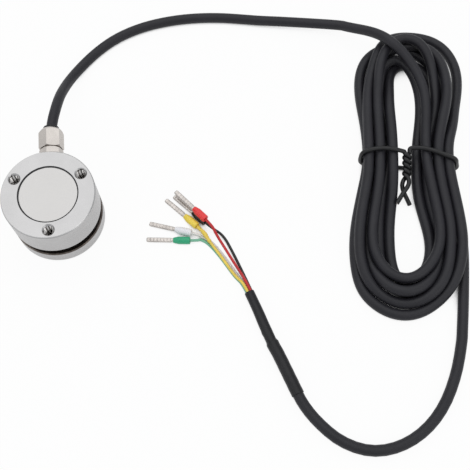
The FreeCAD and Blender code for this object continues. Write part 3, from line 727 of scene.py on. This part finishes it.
def add_tie(finishes, route):
    """Twist tie: one coated wire round the waist of the coil, twisted on itself, with two cut ends."""
    loop = clear_of_strands([on_picture(*place) for place in TIE_ROUND], np.array([tuple(point) for point in route]))
    knot, foot = on_picture(*TIE_KNOT), on_picture(*TIE_TWIST_FOOT)
    way = (foot - knot).normalized()
    side = way.cross(UP).normalized()
    rise = side.cross(way)
    strands = []
    for phase in (180.0, 0.0):
        strand = []
        for step in range(TIE_TWIST_STEPS + 1):
            turn = math.radians(phase + 360 * TIE_TURNS * step / TIE_TWIST_STEPS)
            strand.append(knot + (foot - knot) * (step / TIE_TWIST_STEPS)
                          + (side * math.cos(turn) + rise * math.sin(turn)) * TIE_TWIST_RADIUS)
        strands.append(strand)
    left_first = (strands[0][0] - Vector(loop[0])).length < (strands[1][0] - Vector(loop[0])).length
    first, second = strands if left_first else strands[::-1]
    ends = [[on_picture(*place) for place in end] for end in TIE_ENDS]
    if (first[-1] - ends[0][0]).length > (first[-1] - ends[1][0]).length:
        ends = ends[::-1]
    points = ends[0][::-1] + first[::-1] + [Vector(point) for point in loop] + second + ends[1]
    tie = spline_object("tie_wire", points, TIE / 2, finishes["tie_plastic"], 4, 6)
    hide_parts("twist_tie")
    cores = []
    for number, (tip, before) in enumerate(((points[0], points[1]), (points[-1], points[-2])), 1):
        out = (tip - before).normalized()
        across = out.cross(UP).normalized()
        above = across.cross(out)
        rings = [[tip + out * ahead + (across * math.cos(turn) + above * math.sin(turn)) * reach
                  for turn in [2 * math.pi * step / 16 for step in range(16)]]
                 for ahead, reach in TIE_CORE]
        core = add_skin("tie_core_%d" % number, rings, finishes["pin_tin"])
        cores.append(core)
    return tie, cores


# ---------------------------------------------------------------- stage

# Half the floor's side in metres, how white the camera sees it and how white metal mirrors it, and the reach
# in metres within which strands close to it turn it dark
FLOOR_REACH = 3.0
FLOOR_WHITE = 0.94
MIRRORED_WHITE = 0.48
NOOK_REACH = 0.006

# Place, side and power of each softbox, in metres and watts, and the place that they point at
LAMPS = [("key", (0.00, 0.45, 1.00), 1.50, 4.9), ("fill", (0.60, -0.45, 0.60), 0.60, 0.9),
         ("left", (-0.65, -0.25, 0.50), 0.45, 0.4)]
LAMPS_AIM = Vector((0.06, 0.0, 0.0))


def mix_shaders(tree, share, first, second, output):
    mix = tree.nodes.new("ShaderNodeMixShader")
    for slot, source in enumerate((share, first.outputs[0], second.outputs[0])):
        tree.links.new(source, mix.inputs[slot])
    tree.links.new(mix.outputs[0], output.inputs[0])


def add_floor():
    """Plain floor, white to the camera except in narrow gaps, that keeps the object's shadow."""
    reach = FLOOR_REACH
    mesh = bpy.data.meshes.new("floor")
    corners = [(-reach, -reach, 0), (reach, -reach, 0), (reach, reach, 0), (-reach, reach, 0)]
    mesh.from_pydata(corners, [], [(0, 1, 2, 3)])
    floor = bpy.data.objects.new("floor", mesh)
    bpy.context.collection.objects.link(floor)
    material = bpy.data.materials.new("floor_white")
    material.use_nodes = True
    tree = material.node_tree
    tree.nodes.clear()
    output = tree.nodes.new("ShaderNodeOutputMaterial")
    paint = tree.nodes.new("ShaderNodeBsdfDiffuse")
    paint.inputs["Color"].default_value = (0.90, 0.90, 0.90, 1)
    glow = tree.nodes.new("ShaderNodeEmission")
    glow.inputs["Color"].default_value = (1, 1, 1, 1)
    glow.inputs["Strength"].default_value = 1.0
    rays = tree.nodes.new("ShaderNodeLightPath")
    nook = tree.nodes.new("ShaderNodeAmbientOcclusion")
    nook.samples = 12
    nook.inputs["Distance"].default_value = NOOK_REACH
    open_floor = spread(tree, nook.outputs["AO"], 0.0, FLOOR_WHITE, 0.16, 0.46)
    mirrored = maths(tree, "MAXIMUM", rays.outputs["Is Glossy Ray"], rays.outputs["Is Transmission Ray"])
    seen = maths(tree, "MAXIMUM", maths(tree, "MULTIPLY", rays.outputs["Is Camera Ray"], open_floor),
                 maths(tree, "MULTIPLY", mirrored, MIRRORED_WHITE))
    mix_shaders(tree, seen, paint, glow, output)
    mesh.materials.append(material)


def set_world():
    """Soft light from all round, and white where the camera looks past the floor."""
    world = bpy.data.worlds.new("studio")
    bpy.context.scene.world = world
    world.use_nodes = True
    tree = world.node_tree
    tree.nodes.clear()
    output = tree.nodes.new("ShaderNodeOutputWorld")
    soft = tree.nodes.new("ShaderNodeBackground")
    soft.inputs["Color"].default_value = (0.96, 0.98, 1.0, 1)
    soft.inputs["Strength"].default_value = 0.60
    white = tree.nodes.new("ShaderNodeBackground")
    white.inputs["Color"].default_value = (1, 1, 1, 1)
    white.inputs["Strength"].default_value = 1.0
    rays = tree.nodes.new("ShaderNodeLightPath")
    mix_shaders(tree, rays.outputs["Is Camera Ray"], soft, white, output)


def set_lamps():
    for name, place, side, power in LAMPS:
        data = bpy.data.lights.new(name, "AREA")
        data.size = side
        data.energy = power
        lamp = bpy.data.objects.new(name, data)
        bpy.context.collection.objects.link(lamp)
        lamp.location = place
        lamp.rotation_euler = (LAMPS_AIM - Vector(place)).to_track_quat("-Z", "Y").to_euler()


# ---------------------------------------------------------------- wires and ferrules

SLEEVE_SHOULDER = Vector((72.0, -55.2, 2.25))
SLEEVE_MOUTH = Vector((65.1, -34.4, 1.85))
WIRE_RING = 0.88

# The wires leave the sleeve in a ring, and each runs WIRE_INSIDE into its collar, whose mouth lies
# COLLAR_HEIGHT above the floor. FERRULE_DROP is the slope of a ferrule that lies on the floor.
COLLAR_HEIGHT = 1.63
FERRULE_DROP = 0.0658
WIRE_BEHIND = 3.2
WIRE_INSIDE = 3.0

# Each wire: its angle in the ring, the place of its collar's mouth and the way that points from there, how far
# the ferrule is lifted, and the wire's route between sleeve and collar
WIRES = {
    "black": dict(angle=-18.0, collar=(51.85, -7.05), aim=(-10.9, 12.0), lift=0.0,
                  route=[(62.7, -24.4, 0.6), (60.6, -18.6, 0.5), (58.0, -12.2, 0.6)]),
    "red": dict(angle=54.0, collar=(52.1, -6.8), aim=(-9.9, 11.9), lift=2.66,
                route=[(61.2, -24.2, 1.9), (58.1, -17.6, 1.7), (55.3, -12.2, 2.8)]),
    "yellow": dict(angle=126.0, collar=(48.85, -8.15), aim=(-9.4, 10.3), lift=0.0,
                   route=[on_picture(235.9, 277.3, 1.64), on_picture(221.5, 256.9, 1.52),
                          on_picture(208.3, 239.8, 1.50)]),
    "green": dict(angle=198.0, collar=(45.95, -13.4), aim=(-16.2, 2.2), lift=0.0,
                  route=[on_picture(235.2, 277.7, 0.55), on_picture(220.9, 257.7, 0.5), on_picture(208.4, 243.4, 0.5),
                         on_picture(199.6, 239.0, 0.7)]),
    "white": dict(angle=270.0, collar=(46.6, -10.6), aim=(-15.0, 5.4), lift=0.0,
                  route=[on_picture(237.8, 276.3, 0.55), on_picture(223.5, 255.5, 0.5), on_picture(210.8, 240.8, 0.5),
                         on_picture(200.0, 236.4, 0.6)]),
}


def wire_route(wire):
    """A wire's route from inside the sleeve into its collar, the collar's mouth and the way it points."""
    way = (SLEEVE_MOUTH - SLEEVE_SHOULDER).normalized()
    side = way.cross(UP).normalized()
    turn = math.radians(wire["angle"])
    offset = (side * math.cos(turn) + UP * math.sin(turn)) * WIRE_RING
    level = Vector((*wire["aim"], 0)).normalized()
    aim = (level - UP * FERRULE_DROP).normalized()
    seat = Vector((*wire["collar"], COLLAR_HEIGHT + wire["lift"]))
    route = [SLEEVE_SHOULDER + offset, (SLEEVE_SHOULDER + SLEEVE_MOUTH) * 0.5 + offset * 0.985,
             SLEEVE_MOUTH + way * 3.6 + offset]
    route += [Vector(point) for point in wire["route"]]
    return route + [seat - aim * WIRE_BEHIND, seat + aim * WIRE_INSIDE], seat, aim


# Heat-shrink sleeve: how much of the cable's end it covers, and its middle from there on, as pixels and heights
SLEEVE_OVERLAP = 17.0
SLEEVE_MIDDLE = [(271.3, 341.4, 2.2), (267.6, 333.0, 2.1), (263.4, 324.0, 2.0), (257.4, 309.4, 1.9),
                 (249.1, 292.2, 1.85)]
SLEEVE_WALL = 0.3


def add_sleeve(finishes, line):
    """Heat-shrink sleeve: snug on the jacket, a shoulder, then drawn in on the wires with soft creases."""
    total = lengths_along(line)
    points = [at_length(line, total, total[-1] - back)[0] for back in (SLEEVE_OVERLAP, 13.0, 9.0, 5.0, 2.0)]
    points += [on_picture(*place) for place in SLEEVE_MIDDLE]
    middle = line_of(points, 10)
    total = lengths_along(middle)
    shoulder = SLEEVE_OVERLAP + 1.9
    around = 32

    def outside(s, turn):
        """Radius on the cable, then over the shoulder and with a crease and a fold on the wires."""
        on_cable = 2.17 + 0.02 * math.sin(s * 1.7 + turn)
        past = (s - shoulder) / 1.5
        share = 0.0 if past < 0 else 1.0 if past > 1 else past * past * (3 - 2 * past)
        drawn = 1.80 + 0.06 * math.cos(2 * turn + 0.25 * s) + 0.04 * math.cos(3 * turn - 0.5)
        crease = math.exp(-((s - shoulder - 4.6) / 0.7) ** 2) * 0.14 * max(0.0, math.cos(turn - 3.4))
        fold = math.exp(-((s - shoulder - 0.2) / 0.5) ** 2) * 0.07
        return on_cable * (1 - share) + (drawn + crease) * share + fold

    def ring(s, inset):
        place, side, rise = frame_at(middle, total, s)
        row = []
        for step in range(around):
            turn = 2 * math.pi * step / around
            reach = outside(s, turn) - inset
            row.append(place + side * (reach * math.cos(turn)) + rise * (reach * math.sin(turn)))
        return row

    end = total[-1]
    rings = [ring(2.0, SLEEVE_WALL), ring(0.15, SLEEVE_WALL), ring(0.0, SLEEVE_WALL * 0.8), ring(0.0, 0.06),
             ring(0.08, 0.0)]
    count = 110
    rings += [ring(0.08 + (end - 0.16) * step / count, 0.0) for step in range(1, count)]
    rings += [ring(end - 0.05, 0.02), ring(end, 0.08), ring(end, SLEEVE_WALL * 0.8), ring(end - 0.15, SLEEVE_WALL),
              ring(end - 4.0, SLEEVE_WALL)]
    keep_off_floor(rings)
    piece = add_skin("shrink_sleeve", rings, finishes["heat_shrink"], (False, False))
    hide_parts("heat_shrink_sleeve")
    return piece


COLLAR_LENGTH = 6.0
PIN_LENGTH = 9.6
PIN_IN_COLLAR = 1.2
PIN_STEP = 0.12
PIN_RADIUS = 0.6
PIN_HALF_WIDTH = 0.80
PIN_HALF_HEIGHT = 0.55
CRIMP_PITCH = 1.2
CRIMP_DEPTH = 0.17


def add_pin(name, seat, aim, finishes):
    """Tinned crimp pin: round in the collar, then pressed flat with a row of teeth on both faces."""
    side = aim.cross(UP).normalized()
    rise = side.cross(aim)
    end = COLLAR_LENGTH + PIN_LENGTH
    around = 24
    rings = []
    for step in range(int((PIN_LENGTH + PIN_IN_COLLAR) / PIN_STEP) + 1):
        s = COLLAR_LENGTH - PIN_IN_COLLAR + PIN_STEP * step
        flat = min(1.0, max(0.0, (s - COLLAR_LENGTH - 0.1) / 0.8))
        tooth = abs(((s - COLLAR_LENGTH - 0.7) / CRIMP_PITCH) % 1.0 - 0.5) * 2
        pressed = flat if s < end - 0.9 else 0.0
        tip = max(0.0, (s - end + 0.35) / 0.35)
        wide = PIN_RADIUS + (PIN_HALF_WIDTH - PIN_RADIUS) * flat + 0.05 * (1 - tooth) * pressed - 0.12 * tip
        high = PIN_RADIUS + (PIN_HALF_HEIGHT - PIN_RADIUS) * flat - CRIMP_DEPTH * (1 - tooth) * pressed - 0.08 * tip
        row = []
        for spoke in range(around):
            turn = 2 * math.pi * spoke / around
            cosine, sine = math.cos(turn), math.sin(turn)
            power = 1.0 - 0.42 * flat
            row.append(seat + aim * s + side * (wide * math.copysign(abs(cosine) ** power, cosine))
                       + rise * (high * math.copysign(abs(sine) ** power, sine)))
        rings.append(row)
    centre = seat + aim * (end - 0.02)
    rings.append([centre + (point - centre) * 0.72 for point in rings[-1]])
    rings.append([point - aim * 0.35 for point in rings[-1]])
    keep_off_floor(rings)
    piece = add_skin("crimp_pin_" + name, rings, finishes["pin_tin"])
    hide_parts("ferrule_pin_" + name)
    return piece


OVER_SLEEVE = 7.4
OVER_SLEEVE_STEPS = 40


def add_wire_sleeve(line, finishes):
    """Loose over-sleeve on the yellow wire behind its collar, a little twisted."""
    total = lengths_along(line)
    start = total[-1] - (WIRE_INSIDE + 0.2)
    around = 20
    rings = []
    for step in range(OVER_SLEEVE_STEPS + 1):
        s = start - OVER_SLEEVE * step / OVER_SLEEVE_STEPS
        place, side, rise = frame_at(line, total, s)
        row = []
        for spoke in range(around):
            turn = 2 * math.pi * spoke / around
            reach = 0.70 + 0.09 * math.cos(2 * turn + 1.1 * step / 4) + 0.03 * math.sin(step * 0.9)
            if step in (0, OVER_SLEEVE_STEPS):
                reach *= 0.8
            row.append(place + side * (reach * math.cos(turn)) + rise * (reach * math.sin(turn)))
        rings.append(row)
    keep_off_floor(rings)
    piece = add_skin("wire_sleeve_yellow", rings, finishes["insulation_yellow"])
    return piece


def add_wires(finishes):
    """The five wires with their ferrules: the collars are nodes of the frame."""
    for name, wire in WIRES.items():
        route, seat, aim = wire_route(wire)
        piece = spline_object("wire_line_" + name, route, WIRE / 2, finishes["insulation_" + name], 12, 6)
        line = line_of(route, 12)
        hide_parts("wire_" + name)
        carried = [frame["nodes"]["ferrule_collar_" + name], add_pin(name, seat, aim, finishes)]
        if name == "yellow":
            carried.append(add_wire_sleeve(line, finishes))


# ---------------------------------------------------------------- build

set_camera()
finishes = finish_materials()
dress_nodes(finishes)
route = cable_route()
cable = spline_object("signal_cable", route, CABLE_RADIUS, finishes["cable_jacket"], 3, 8)
cable_line = line_of(route, 3)
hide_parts("cable_lead", "cable_coil", "cable_tail")
sleeve = add_sleeve(finishes, cable_line)
tie, cores = add_tie(finishes, route)
add_wires(finishes)
add_gap_shade_bead(finishes)
add_threads(finishes)
add_floor()
set_world()
set_lamps()
bpy.context.scene.view_settings.view_transform = "Standard"
